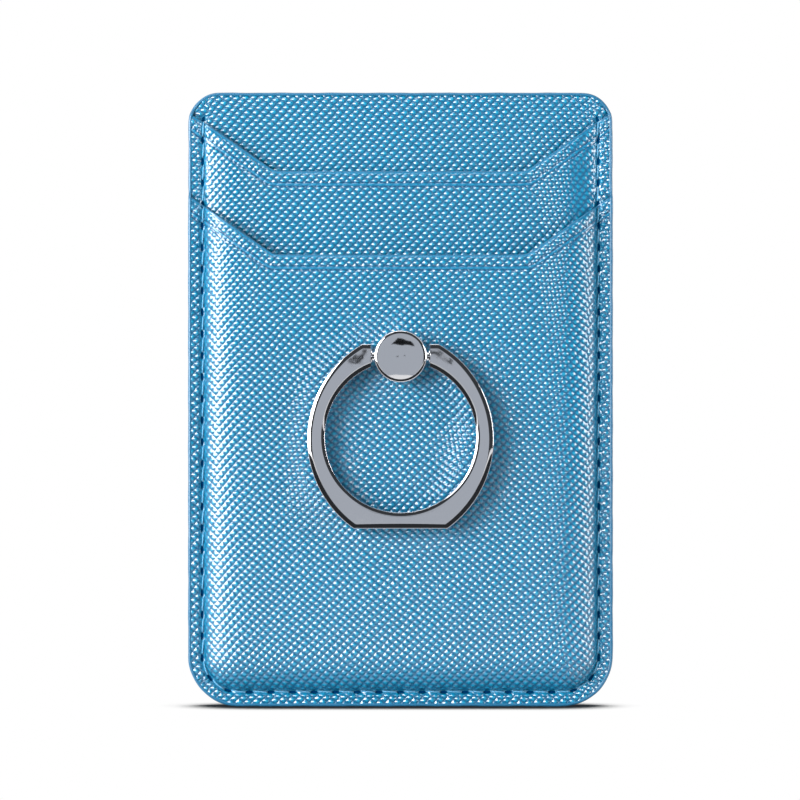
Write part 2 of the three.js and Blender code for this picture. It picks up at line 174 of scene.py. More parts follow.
def sheetGrid(mouthHeight, fine, coarse, edge=outline["paint"]):
    # plan of a sheet: columns close together near the side seams, rows near the bottom seam and the mouth
    side = spread((edge, plan["seamBand"], fine), (plan["seamBand"], halfWidth, coarse)) - halfWidth
    columns = np.concatenate((side[:-1], [0], -side[:-1][::-1]))
    low = plan["seamBand"] - halfHeight
    if mouthHeight is None:
        top = halfHeight - edge
        high = top - plan["topBand"]
        rows = spread((edge - halfHeight, low, fine), (low, high, coarse), (high, top, fine))
        x, v = np.meshgrid(columns, rows)
        y = v
        drop = np.full_like(x, plan["noMouth"])
    else:
        high = mouthHeight - plan["mouthBand"]
        rows = spread((edge - halfHeight, low, fine), (low, high, coarse),
                      (high, mouthHeight, plan["mouthStep"]))
        x, v = np.meshgrid(columns, rows)
        drop = mouthHeight - v
        bend = ease(v, mouthHeight - plan["bendStart"], mouthHeight - plan["bendEnd"])
        y = v + bend * mouthRise(x, drop)
    inset = np.minimum(halfWidth - np.abs(x), halfHeight + y)
    arc = (outline["bottomCorner"] - seam["inset"]) * np.pi / 2
    straight = halfWidth - outline["bottomCorner"]
    cornerY = outline["bottomCorner"] - halfHeight
    p = np.clip(halfWidth - np.abs(x), 0, outline["bottomCorner"])
    q = np.clip(halfHeight + y, 0, outline["bottomCorner"])
    away = outline["bottomCorner"] - np.minimum(p, q)
    lean = np.where(away > 0, (outline["bottomCorner"] - np.maximum(p, q)) / np.where(away > 0, away, 1), 0)
    turned = np.where(p < q, 1 - lean / 2, lean / 2)
    along = np.where(y > cornerY, straight + arc + y - cornerY,
                     np.where(np.abs(x) < straight, np.abs(x), straight + arc * turned))
    newX, newY = roundCorners(x, y)
    return {"x": newX, "y": newY, "inset": inset, "along": along, "drop": drop}


def stitchDip(grid):
    # the groove under the stitches, deeper at each needle hole, with the leather puckered beside it
    hole = 0.5 + 0.5 * np.cos(2 * np.pi * grid["along"] / seam["pitch"])
    sewn = ease(seam["top"] + sewing["fadeStart"] - grid["y"], 0, sewing["fadeRun"])
    groove = (sewing["groove"] + sewing["hole"] * hole) * gauss(grid["inset"], seam["inset"], sewing["width"])
    beside = gauss(grid["inset"], *sewing["outer"]) + gauss(grid["inset"], *sewing["inner"])
    return sewn * (sewing["pucker"] * (1 - 2 * hole) * beside - groove)


def creaseDip(drop):
    # two pressed lines with a low ridge between
    pressed = sum(gauss(drop, line, crease["width"]) for line in crease["lines"])
    return -crease["depth"] * pressed + crease["rise"] * gauss(drop, crease["ridge"], crease["ridgeWidth"])


def shoulder(grid, start, width, power=2.0, root=0.5):
    # 0 at the foot of the moulded shoulder and 1 on its top
    t = np.clip((grid["inset"] - start) / width, 0, 1)
    return (1 - (1 - t) ** power) ** root


def grainMap(grid, depth):
    # distance along the surface from the middle column, and height with a share of the extra way over slopes
    def run(axis):
        steps = np.sqrt(sum(np.diff(a, axis=axis) ** 2 for a in (grid["x"], grid["y"], depth)))
        pad = [(0, 0), (0, 0)]
        pad[axis] = (1, 0)
        return np.pad(np.cumsum(steps, axis=axis), pad)
    u = run(1)
    u = u - u[:, u.shape[1] // 2][:, None]
    v = grid["y"] + slopeShare * (run(0) - run(0)[0] - (grid["y"] - grid["y"][0]))
    return np.stack((u, v), -1)


def addSheet(name, grid, front, back, material):
    # a closed sheet: front surface, back surface and the walls between their borders
    rows, columns = grid["x"].shape
    count = rows * columns
    points = np.concatenate([np.stack((grid["x"], grid["y"], z), -1).reshape(-1, 3) for z in (front, back)])
    index = np.arange(count).reshape(rows, columns)
    border = np.concatenate((index[0, :-1], index[:-1, -1], index[-1, :0:-1], index[:0:-1, 0]))
    after = np.roll(border, -1)
    walls = np.stack((border + count, after + count, after, border), -1)
    faces = np.concatenate((gridFaces(rows, columns), gridFaces(rows, columns, flip=True) + count, walls))
    uv = np.tile(grainMap(grid, front).reshape(-1, 2), (2, 1))
    marks = {key: np.tile(grid[key].ravel(), 2) for key in ("inset", "along", "drop")}
    return addMesh(name, points, faces, material, uv=uv, marks=marks)


# Material tools
def newMaterial(name):
    material = bpy.data.materials.new(name)
    material.use_nodes = True
    tree = material.node_tree
    return material, tree, tree.nodes["Principled BSDF"]


def put(tree, kind, **settings):
    node = tree.nodes.new(kind)
    for key, value in settings.items():
        setattr(node, key, value)
    return node


def link(tree, source, target):
    tree.links.new(source, target)


def calc(tree, operation, *values):
    node = put(tree, "ShaderNodeMath", operation=operation)
    for i, value in enumerate(values):
        if isinstance(value, (int, float)):
            node.inputs[i].default_value = value
        else:
            link(tree, value, node.inputs[i])
    return node.outputs[0]


def times(tree, first, second):
    return calc(tree, "MULTIPLY", first, second)


def vectorCalc(tree, operation, source, value):
    node = put(tree, "ShaderNodeVectorMath", operation=operation)
    link(tree, source, node.inputs[0])
    socket = node.inputs["Scale" if operation == "SCALE" else 1]
    if isinstance(value, (tuple, float)):
        socket.default_value = value
    else:
        link(tree, value, socket)
    return node


def addBump(tree, shader, height):
    # a height in millimetres that turns the shader's normal
    bump = put(tree, "ShaderNodeBump")
    bump.inputs["Distance"].default_value = millimetre
    link(tree, height, bump.inputs["Height"])
    link(tree, bump.outputs["Normal"], shader.inputs["Normal"])
    return bump.outputs["Normal"]


def ramp(tree, value, low, high, fromLevel=0.0, toLevel=1.0):
    # a value eased from one level to another between low and high
    node = put(tree, "ShaderNodeMapRange", interpolation_type="SMOOTHSTEP")
    link(tree, value, node.inputs["Value"])
    for key, number in (("From Min", low), ("From Max", high), ("To Min", fromLevel), ("To Max", toLevel)):
        node.inputs[key].default_value = number
    return node.outputs["Result"]


def blendColour(tree, factor, first, second):
    node = put(tree, "ShaderNodeMix", data_type="RGBA")
    for label, value in (("Factor", factor), ("A", first), ("B", second)):
        socket = node.inputs[label]
        if isinstance(value, (tuple, list)):
            socket.default_value = (*value, 1)
        elif isinstance(value, (int, float)):
            socket.default_value = value
        else:
            link(tree, value, socket)
    return [o for o in node.outputs if o.type == "RGBA"][0]


def groupTree(name, inputs, outputs):
    tree = bpy.data.node_groups.new(name, "ShaderNodeTree")
    for label, kind, value in inputs:
        socket = tree.interface.new_socket(label, in_out="INPUT", socket_type=kind)
        if value is not None:
            socket.default_value = value
    for label, kind in outputs:
        tree.interface.new_socket(label, in_out="OUTPUT", socket_type=kind)
    return tree, put(tree, "NodeGroupInput"), put(tree, "NodeGroupOutput")


def placeGroup(tree, group, **values):
    node = put(tree, "ShaderNodeGroup", node_tree=group)
    for key, value in values.items():
        socket = node.inputs[key]
        if isinstance(value, (int, float)):
            socket.default_value = value
        else:
            link(tree, value, socket)
    return node


def linear(red, green, blue):
    # screen colour, 0 to 255, as linear light
    shares = (red / 255, green / 255, blue / 255)
    return tuple(c / 12.92 if c <= 0.04045 else ((c + 0.055) / 1.055) ** 2.4 for c in shares)


grainLook = {
    # cells per millimetre across each of the two families of grooves, as (x, y)
    "first": (0.705, 0.933), "second": (0.789, -0.731),
    "drift": 0.35, "driftScale": 0.1, "jitterScale": 0.9, "grooveEnd": 0.55,
}


def makeHatchGroup():
    # pillows between two families of slanted grooves: u and v count the cells across each family
    tree, start, end = groupTree(
        "crossHatchGrain",
        [("Map", "NodeSocketVector", None), ("Unevenness", "NodeSocketFloat", 0.12)],
        [("Height", "NodeSocketFloat"), ("Groove", "NodeSocketFloat"), ("Cell", "NodeSocketFloat")],
    )
    moved = start.outputs["Map"]
    drift = (grainLook["driftScale"], grainLook["drift"])
    jitter = (grainLook["jitterScale"], start.outputs["Unevenness"])
    for scale, amount in (drift, jitter):
        wobble = put(tree, "ShaderNodeTexNoise", noise_dimensions="2D")
        wobble.inputs["Scale"].default_value = scale
        wobble.inputs["Detail"].default_value = 1
        link(tree, start.outputs["Map"], wobble.inputs["Vector"])
        centred = vectorCalc(tree, "SUBTRACT", wobble.outputs["Color"], (0.5, 0.5, 0.5)).outputs[0]
        scaled = vectorCalc(tree, "SCALE", centred, amount).outputs[0]
        moved = vectorCalc(tree, "ADD", moved, scaled).outputs[0]
    counts, waves = [], []
    for across in (grainLook["first"], grainLook["second"]):
        count = vectorCalc(tree, "DOT_PRODUCT", moved, (*across, 0)).outputs["Value"]
        counts.append(count)
        wave = calc(tree, "SINE", times(tree, count, math.pi))
        waves.append(calc(tree, "ABSOLUTE", wave))
    height = times(tree, *waves)
    cells = put(tree, "ShaderNodeCombineXYZ")
    for axis, count in enumerate(counts):
        link(tree, calc(tree, "FLOOR", count), cells.inputs[axis])
    chance = put(tree, "ShaderNodeTexWhiteNoise", noise_dimensions="2D")
    link(tree, cells.outputs[0], chance.inputs["Vector"])
    link(tree, height, end.inputs["Height"])
    link(tree, ramp(tree, height, 0.0, grainLook["grooveEnd"], 1.0, 0.0), end.inputs["Groove"])
    link(tree, chance.outputs["Value"], end.inputs["Cell"])
    return tree


# a needle hole is a lens, longer than wide, pulled a little towards the outer edge
holeLook = {"shift": 0.1, "halfWide": 0.22, "halfLong": 0.2, "core": 0.4, "rim": 1.2}


def makeSewnGroup():
    # masks from a sheet's own measures: needle holes, the groove they sit in, and the crease below a mouth
    number = "NodeSocketFloat"
    tree, start, end = groupTree(
        "sewnMarks",
        [("Inset", number, 0.0), ("Along", number, 0.0), ("Drop", number, 0.0), ("Height", number, 0.0),
         ("Seam", number, seam["inset"]), ("Pitch", number, seam["pitch"]), ("Top", number, seam["top"])],
        [("Hole", number), ("Groove", number), ("Crease", number), ("Ridge", number)],
    )
    pastSeam = calc(tree, "SUBTRACT", start.outputs["Inset"], start.outputs["Seam"])
    fromSeam = calc(tree, "ABSOLUTE", pastSeam)
    step = calc(tree, "DIVIDE", start.outputs["Along"], start.outputs["Pitch"])
    fromHole = calc(tree, "ABSOLUTE", calc(tree, "SUBTRACT", step, calc(tree, "ROUND", step)))
    sewn = ramp(tree, calc(tree, "SUBTRACT", start.outputs["Top"], start.outputs["Height"]), -0.45, -0.35)
    wide = calc(tree, "DIVIDE", calc(tree, "ADD", pastSeam, holeLook["shift"]), holeLook["halfWide"])
    long = calc(tree, "DIVIDE", fromHole, holeLook["halfLong"])
    reach = calc(tree, "ADD", times(tree, wide, wide), times(tree, long, long))
    lens = ramp(tree, reach, holeLook["core"], holeLook["rim"], 1.0, 0.0)
    link(tree, times(tree, lens, sewn), end.inputs["Hole"])
    link(tree, times(tree, ramp(tree, fromSeam, 0.25, 0.7, 1.0, 0.0), sewn), end.inputs["Groove"])
    lines = []
    for middle in crease["lines"]:
        away = calc(tree, "ABSOLUTE", calc(tree, "SUBTRACT", start.outputs["Drop"], middle))
        lines.append(ramp(tree, away, 0.05, 0.2, 1.0, 0.0))
    link(tree, calc(tree, "MAXIMUM", *lines), end.inputs["Crease"])
    away = calc(tree, "ABSOLUTE", calc(tree, "SUBTRACT", start.outputs["Drop"], crease["ridge"]))
    link(tree, ramp(tree, away, 0.2, 0.36, 1.0, 0.0), end.inputs["Ridge"])
    return tree


def makeWearGroup():
    # slow changes of tone and a fine unevenness, from noise at two sizes
    tree, start, end = groupTree(
        "handledTone",
        [("Place", "NodeSocketVector", None), ("Scale", "NodeSocketFloat", 60.0),
         ("Amount", "NodeSocketFloat", 0.2)],
        [("Tone", "NodeSocketFloat"), ("Fine", "NodeSocketFloat")],
    )
    slow = put(tree, "ShaderNodeTexNoise")
    slow.inputs["Detail"].default_value = 3
    link(tree, start.outputs["Place"], slow.inputs["Vector"])
    link(tree, start.outputs["Scale"], slow.inputs["Scale"])
    fine = put(tree, "ShaderNodeTexNoise")
    fine.inputs["Detail"].default_value = 4
    link(tree, start.outputs["Place"], fine.inputs["Vector"])
    link(tree, times(tree, start.outputs["Scale"], 60.0), fine.inputs["Scale"])
    lift = times(tree, calc(tree, "SUBTRACT", slow.outputs["Fac"], 0.5), start.outputs["Amount"])
    link(tree, calc(tree, "ADD", lift, 0.5), end.inputs["Tone"])
    link(tree, fine.outputs["Fac"], end.inputs["Fine"])
    return tree


hatchGroup = makeHatchGroup()
sewnGroup = makeSewnGroup()
wearGroup = makeWearGroup()


def blueLeather(name, look):
    material, tree, shader = newMaterial(name)
    grain = put(tree, "ShaderNodeUVMap", uv_map="grain")
    measures = {}
    for key in ("inset", "along", "drop"):
        measures[key] = put(tree, "ShaderNodeAttribute", attribute_name=key).outputs["Fac"]
    place = put(tree, "ShaderNodeTexCoord").outputs["Object"]
    parts = put(tree, "ShaderNodeSeparateXYZ")
    link(tree, place, parts.inputs[0])
    up = times(tree, parts.outputs["Z"], 1 / millimetre)
    hatch = placeGroup(tree, hatchGroup, Map=grain.outputs["UV"], Unevenness=look["unevenness"])
    marks = placeGroup(tree, sewnGroup, Inset=measures["inset"], Along=measures["along"],
                       Drop=measures["drop"], Height=up)
    tone = placeGroup(tree, wearGroup, Place=place, Scale=look["toneScale"], Amount=look["toneAmount"])

    # the grain fades out on the ridge between the pressed lines, on the cut edge and in the stitch groove
    flat = calc(tree, "MAXIMUM", times(tree, marks.outputs["Ridge"], look["pressed"]),
                ramp(tree, measures["drop"], 0.1, 0.4, 1.0, 0.0))
    flat = calc(tree, "MAXIMUM", flat, times(tree, marks.outputs["Groove"], look["pressed"]))
    keep = calc(tree, "SUBTRACT", 1.0, flat)

    # the grain's colour runs from the groove colour to the body colour with the pillow's height, and lighter
    # still on the pillow tops: painted shade in the grooves and painted light on the tops
    hue = blendColour(tree, ramp(tree, hatch.outputs["Height"], 0.05, 0.95), look["groove"], look["body"])
    paintedTopLight = times(tree, ramp(tree, hatch.outputs["Height"], 0.75, 1.0), look["paintedTopLightShare"])
    hue = blendColour(tree, paintedTopLight, hue, look["top"])
    cells = times(tree, hatch.outputs["Cell"], look["cellShare"])
    hue = blendColour(tree, cells, hue, look["groove"])
    hue = blendColour(tree, flat, hue, look["smooth"])
    # the pressed lines below a mouth are painted darker: painted shade in the creases
    lines = times(tree, marks.outputs["Crease"], look["creaseShadeShare"])
    hue = blendColour(tree, lines, hue, look["crease"])
    # the needle holes are painted dark: painted shade inside the holes
    hue = blendColour(tree, marks.outputs["Hole"], hue, look["hole"])
    shade = put(tree, "ShaderNodeHueSaturation")
    link(tree, hue, shade.inputs["Color"])
    link(tree, calc(tree, "ADD", tone.outputs["Tone"], 0.5), shade.inputs["Value"])
    link(tree, shade.outputs["Color"], shader.inputs["Base Color"])

    dull = times(tree, hatch.outputs["Groove"], look["grooveDull"])
    link(tree, calc(tree, "ADD", dull, look["roughness"]), shader.inputs["Roughness"])
    dry = calc(tree, "SUBTRACT", 1.0, marks.outputs["Hole"])
    link(tree, times(tree, dry, look["gloss"]), shader.inputs["Specular IOR Level"])
    link(tree, times(tree, dry, look["coat"]), shader.inputs["Coat Weight"])
    shader.inputs["Coat IOR"].default_value = look["coatIndex"]
    shader.inputs["Coat Roughness"].default_value = look["coatRoughness"]

    # the grain is flatter where the leather is stretched over the side shoulders, and full on the flange
    # outside the seam and on what faces down
    height = look["bumpHeight"]
    stretched = ramp(tree, measures["inset"], 4.0, 9.0, look["shoulderRelief"], 1.0)
    relief = times(tree, stretched, height)
    relief = calc(tree, "MAXIMUM", relief, ramp(tree, measures["inset"], 2.2, 2.5, height, 0.0))
    turn = put(tree, "ShaderNodeSeparateXYZ")
    link(tree, put(tree, "ShaderNodeNewGeometry").outputs["Normal"], turn.inputs["Vector"])
    under = ramp(tree, turn.outputs["Z"], -0.02, -0.2, 0.0, height * look["underShare"])
    relief = calc(tree, "MAXIMUM", relief, under)
    pillow = times(tree, times(tree, hatch.outputs["Height"], keep), relief)
    skin = times(tree, tone.outputs["Fine"], look["skinHeight"])
    sunk = times(tree, marks.outputs["Hole"], -look["holeDepth"])
    normal = addBump(tree, shader, calc(tree, "ADD", calc(tree, "ADD", pillow, skin), sunk))
    link(tree, normal, shader.inputs["Coat Normal"])
    return material


# groove, body and top colours carry painted shade in the grooves and painted light on the pillow tops; the
# crease and hole colours are painted shade in the pressed lines and the needle holes
leatherLook = {
    "groove": linear(0, 74, 108), "body": linear(0, 112, 146), "top": linear(4, 134, 166),
    "smooth": linear(2, 104, 140), "crease": linear(0, 54, 90), "hole": linear(0, 46, 86),
    "paintedTopLightShare": 0.5, "toneAmount": 0.2, "unevenness": 0.16, "roughness": 0.4, "gloss": 0.15,
    "coat": 1.0, "coatIndex": 1.75, "coatRoughness": 0.18, "bumpHeight": 0.18, "skinHeight": 0.008,
    "shoulderRelief": 0.45, "underShare": 0.9, "holeDepth": 0.35, "grooveDull": 0.2, "pressed": 0.6,
    "cellShare": 0.22, "creaseShadeShare": 0.7, "toneScale": 55.0,
}
leatherBlue = blueLeather("pearlBlueLeather", leatherLook)
flatBlue = blueLeather("flatBlueLeather", {**leatherLook, "shoulderRelief": 1.0})


def plainFinish(name, colour, roughness, metallic=0.0, toneAmount=0.2, bumpHeight=0.01, scale=80.0,
                coat=0.0):
    # a colour with slow tone changes, a little unevenness in gloss, and a fine skin
    material, tree, shader = newMaterial(name)
    place = put(tree, "ShaderNodeTexCoord").outputs["Object"]
    tone = placeGroup(tree, wearGroup, Place=place, Scale=scale, Amount=toneAmount)
    dark = tuple(c * 0.55 for c in colour)
    light = tuple(min(c * 1.35, 1) for c in colour)
    link(tree, blendColour(tree, tone.outputs["Tone"], dark, light), shader.inputs["Base Color"])
    uneven = times(tree, tone.outputs["Fine"], 0.12)
    link(tree, calc(tree, "ADD", uneven, roughness - 0.06), shader.inputs["Roughness"])
    shader.inputs["Metallic"].default_value = metallic
    shader.inputs["Coat Weight"].default_value = coat
    addBump(tree, shader, times(tree, tone.outputs["Fine"], bumpHeight))
    return material


paintLook = {"colour": linear(16, 86, 120), "roughness": 0.36, "bumpHeight": 0.012, "scale": 90.0,
             "coat": 0.3}
edgePaintBlue = plainFinish("blueEdgePaint", **paintLook)
threadLook = {"ply": linear(76, 156, 194), "gap": linear(20, 96, 142), "roughness": 0.55, "sheen": 0.2,
              "relief": 0.05}


def twistedThread():
    # two plies: bands slanted round the thread, from the map of turns along and round it; the gap between the
    # plies is painted darker, painted shade between the plies
    material, tree, shader = newMaterial("twistedBlueThread")
    grain = put(tree, "ShaderNodeUVMap", uv_map="grain")
    parts = put(tree, "ShaderNodeSeparateXYZ")
    link(tree, grain.outputs["UV"], parts.inputs[0])
    turn = calc(tree, "ADD", parts.outputs["X"], parts.outputs["Y"])
    band = calc(tree, "ABSOLUTE", calc(tree, "SINE", times(tree, turn, 2 * math.pi)))
    pliesWithPaintedShade = blendColour(tree, ramp(tree, band, 0.0, 0.7), threadLook["gap"], threadLook["ply"])
    link(tree, pliesWithPaintedShade, shader.inputs["Base Color"])
    shader.inputs["Roughness"].default_value = threadLook["roughness"]
    shader.inputs["Sheen Weight"].default_value = threadLook["sheen"]
    addBump(tree, shader, times(tree, band, threadLook["relief"]))
    return material


threadBlue = twistedThread()

# Leather panels
lipWidth = 0.3  # how far the turned-down lip of a mouth reaches
facingPanel = {"fine": 0.3, "coarse": 0.62, "edgeDrop": 0.22, "edgeAt": 0.3, "edgeWidth": 0.35, "wave": 0.03}
grid = sheetGrid(None, facingPanel["fine"], facingPanel["coarse"])
fromEdge = np.minimum(grid["inset"], halfHeight - grid["y"])
rolled = -facingPanel["edgeDrop"] * gauss(fromEdge, facingPanel["edgeAt"], facingPanel["edgeWidth"])
face = depths["facing"] + stitchDip(grid) + rolled + facingPanel["wave"] * ripple(grid["x"], grid["y"], 5, 3)
piece = addSheet("facingLeatherPanel", grid, face, np.full_like(face, depths["board"]), flatBlue)
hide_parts("facing_leather")
print("facing made")

rearPanel = {"fine": 0.26, "coarse": 0.55, "foot": 2.45, "width": 8.0, "power": 3.2, "root": 0.8,
             "thick": 0.7, "lip": 0.1, "wave": 0.04}
grid = sheetGrid(mouth["rear"], rearPanel["fine"], rearPanel["coarse"])
lift = shoulder(grid, rearPanel["foot"], rearPanel["width"], rearPanel["power"], rearPanel["root"])
moulded = depths["rearFlange"] + (depths["rearFace"] - depths["rearFlange"]) * lift
rearFront = (moulded + stitchDip(grid) + creaseDip(grid["drop"])
             - rearPanel["lip"] * gauss(grid["drop"], 0, lipWidth)
             + rearPanel["wave"] * ripple(grid["x"], grid["y"], 6, 5))
rearBack = np.maximum(moulded - rearPanel["thick"], depths["facing"])
rearUnder = np.minimum(rearBack, rearFront - 0.1)
piece = addSheet("rearPocketPanel", grid, rearFront, rearUnder, leatherBlue)
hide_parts("rear_pocket_leather")
print("rear pocket made")

frontPanel = {"fine": 0.24, "coarse": 0.45, "foot": 2.55, "width": 10.5, "power": 3.6, "root": 0.6,
              "thick": 0.7, "lip": 0.12, "wave": 0.05}
grid = sheetGrid(mouth["front"], frontPanel["fine"], frontPanel["coarse"])
frontHeight = depths["frontFace"] - depths["frontFlange"]


def frontSurface(grid):
    lift = shoulder(grid, frontPanel["foot"], frontPanel["width"], frontPanel["power"], frontPanel["root"])
    soft = frontPanel["wave"] * ripple(grid["x"], grid["y"], 7, 8) * ease(grid["inset"], 2, 8)
    return depths["frontFlange"] + frontHeight * lift + soft


turned = frontPanel["lip"] * gauss(grid["drop"], 0, lipWidth)
frontFace = frontSurface(grid) + stitchDip(grid) + creaseDip(grid["drop"]) - turned
under = np.maximum(frontSurface(grid) - frontPanel["thick"], depths["liningFlange"])
piece = addSheet("frontPocketPanel", grid, frontFace, np.minimum(under, frontFace - 0.12), leatherBlue)
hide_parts("front_pocket_leather")
print("front pocket made")

# Foam and lining inside the front pocket
foamPad = {"fine": 0.8, "coarse": 1.6, "edge": 4.2, "gap": 0.03}
lining = {"fine": 0.5, "coarse": 1.4, "foot": 3.35, "width": 1.4, "thick": 0.2}
foamGreyLook = {"colour": linear(52, 55, 60), "roughness": 0.9, "bumpHeight": 0.12, "scale": 40.0}
liningLook = {"colour": linear(58, 76, 92), "roughness": 0.85, "bumpHeight": 0.05, "scale": 70.0}


def liningSurface(grid):
    lift = shoulder(grid, lining["foot"], lining["width"])
    return depths["liningFlange"] + (depths["liningFace"] - depths["liningFlange"]) * lift


foamGrey = plainFinish("foamGrey", **foamGreyLook)
liningSlate = plainFinish("liningSlate", **liningLook)
inner = sheetGrid(mouth["front"], foamPad["fine"], foamPad["coarse"], foamPad["edge"])
foamTop = frontSurface(inner) - frontPanel["thick"] - foamPad["gap"]
foamBottom = np.minimum(liningSurface(inner) + foamPad["gap"], foamTop - 0.05)
piece = addSheet("frontFoamPad", inner, foamTop, foamBottom, foamGrey)
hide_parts("front_pocket_foam")

inner = sheetGrid(mouth["front"], lining["fine"], lining["coarse"])
liningTop = liningSurface(inner)
piece = addSheet("frontSlotLining", inner, liningTop, liningTop - lining["thick"], liningSlate)
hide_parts("front_pocket_lining")

backPanel = {"fine": 0.3, "coarse": 0.62, "edgeRise": 0.18}
inner = sheetGrid(None, backPanel["fine"], backPanel["coarse"])
fromEdge = np.minimum(inner["inset"], halfHeight - inner["y"])
rolled = backPanel["edgeRise"] * gauss(fromEdge, facingPanel["edgeAt"], facingPanel["edgeWidth"])
rear = depths["pad"] - stitchDip(inner) + rolled
piece = addSheet("backLeatherPanel", inner, np.full_like(rear, depths["backLeather"]), rear, flatBlue)
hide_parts("back_leather")
print("foam, lining and back made")

# Painted edges
edgeBead = {
    "lip": 0.5, "proud": 0.05, "count": 900, "step": 0.6, "swell": 0.02, "lumps": 37, "ripple": 0.012,
    "ripples": 83, "innerGap": 0.02,
    # (inset, height past the face) over the front lip, then back down the wall and over the back lip
    "front": [(0.5, -0.02), (0.36, 0.03), (0.24, 0.03), (0.13, -0.04), (0.05, -0.16), (0.01, -0.34),
              (0, -0.6)],
    "rear": [(0, 0.6), (0.01, 0.34), (0.05, 0.14), (0.14, 0.03), (0.26, 0.0), (0.5, 0.03), (0.5, 0.1)],
}
mouthBead = {
    "out": 0.14, "over": 0.1, "proud": 0.035, "rooted": 0.02,
    # (share of how far it stands out, share of the thickness) round the bead
    "round": [(0.55, 0.97), (0.9, 0.88), (1, 0.7), (1, 0.3), (0.9, 0.12), (0.55, 0.03)],
}


def roundedPath(halfX, halfY, topRadius, bottomRadius, count):
    # points and outward directions round a rectangle with rounded corners, counter-clockwise from the front
    pieces = []
    for cx, cy, radius, start in ((halfX - bottomRadius, bottomRadius - halfY, bottomRadius, -90),
                                  (halfX - topRadius, halfY - topRadius, topRadius, 0),
                                  (topRadius - halfX, halfY - topRadius, topRadius, 90),
                                  (bottomRadius - halfX, bottomRadius - halfY, bottomRadius, 180)):
        turn = np.radians(np.linspace(start, start + 90, 60))
        direction = np.stack((np.cos(turn), np.sin(turn)), -1)
        pieces.append(np.concatenate((np.array([cx, cy]) + radius * direction, direction), 1))
    points = np.concatenate(pieces)
    points = np.concatenate((points, points[:1]))
    length = np.append(0, np.cumsum(np.linalg.norm(np.diff(points[:, :2], axis=0), axis=1)))
    at = np.linspace(0, length[-1], count, endpoint=False)
    return np.stack([np.interp(at, length, points[:, i]) for i in range(4)], -1)


def stackTop(y):
    # the seam's surface: it steps down past each mouth
    atFront = mouth["front"] + mouthRise(halfWidth - 0.3, 0)
    atRear = mouth["rear"] + mouthRise(halfWidth - 0.3, 0)
    pastFront = ease(y, atFront - 0.1, atFront + edgeBead["step"])
    pastRear = ease(y, atRear - 0.1, atRear + edgeBead["step"])
    top = depths["frontFlange"] - (depths["frontFlange"] - depths["rearFlange"]) * pastFront
    return top - (depths["rearFlange"] - depths["facing"]) * pastRear


def outerBead():
    top, bottom = outline["topCorner"], outline["bottomCorner"]
    path = roundedPath(halfWidth, halfHeight, top, bottom, edgeBead["count"])
    top = stackTop(path[:, 1]) + edgeBead["proud"]
    low = depths["pad"]
    lip = edgeBead["lip"]
    within = outline["paint"] + edgeBead["innerGap"]
    section = [(inset, 1, offset) for inset, offset in edgeBead["front"]]
    section += [(inset, 0, offset) for inset, offset in edgeBead["rear"]]
    section += [(within, 0, 0.14), (within, 1, -0.2), (lip, 1, -0.1)]
    steps = np.arange(len(path)) * 2 * np.pi
    swell = edgeBead["swell"] * np.sin(steps * edgeBead["lumps"] / len(path))
    swell = swell + edgeBead["ripple"] * np.sin(steps * edgeBead["ripples"] / len(path))
    rings = []
    for inset, end, offset in section:
        z = (top if end else np.full_like(top, low)) + offset
        move = inset + (swell + edgeBead["swell"] if inset < 0.2 else 0)
        rings.append(np.stack((path[:, 0] - move * path[:, 2], path[:, 1] - move * path[:, 3], z), -1))
    points = np.stack(rings, 1).reshape(-1, 3)
    faces = gridFaces(len(path), len(section), closeRows=True, closeColumns=True)
    return addMesh("outerEdgeBead", points, faces, edgePaintBlue)


def mouthEdge(name, grid, front, back):
    # a bead carried along the top row of a sheet, from its back to its face
    x, y = grid["x"][-1], grid["y"][-1]
    tangent = np.gradient(np.stack((x, y), -1), axis=0)
    tangent /= np.linalg.norm(tangent, axis=1)[:, None]
    up = np.stack((-tangent[:, 1], tangent[:, 0]), -1)
    zFront, zBack = front[-1] + mouthBead["proud"], back[-1] - mouthBead["proud"]
    out, over = mouthBead["out"], mouthBead["over"]
    rooted = mouthBead["rooted"]
    section = [(-over, 1), (rooted, 1)]
    section += [(outShare * out, share) for outShare, share in mouthBead["round"]]
    section += [(rooted, 0), (-over, 0)]
    rings = []
    for n, share in section:
        z = zBack + (zFront - zBack) * share
        rings.append(np.stack((x + up[:, 0] * n, y + up[:, 1] * n, z), -1))
    points = np.stack(rings, 1)
    for end in (0, -1):
        points[end] = points[end].mean(0)
    count = points.shape
    faces = gridFaces(count[0], count[1], closeColumns=True)
    return addMesh(name, points.reshape(-1, 3), faces, edgePaintBlue, weld=True)


piece = outerBead()
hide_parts("outer_edge_paint")
slotBack = liningSurface(grid) - lining["thick"]
piece = mouthEdge("frontMouthBead", grid, frontFace, slotBack)
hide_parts("front_mouth_edge_paint")
rearGrid = sheetGrid(mouth["rear"], rearPanel["fine"], rearPanel["coarse"])
piece = mouthEdge("rearMouthBead", rearGrid, rearFront, rearUnder)
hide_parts("rear_mouth_edge_paint")
print("edges painted")

# Stitches
stitch = {"count": 70, "radius": 0.11, "stop": 0.42, "slant": 0.09, "bend": 16, "sides": 8, "turns": 5.0,
          "arch": 0.62, "sink": 0.66, "tip": 0.55}


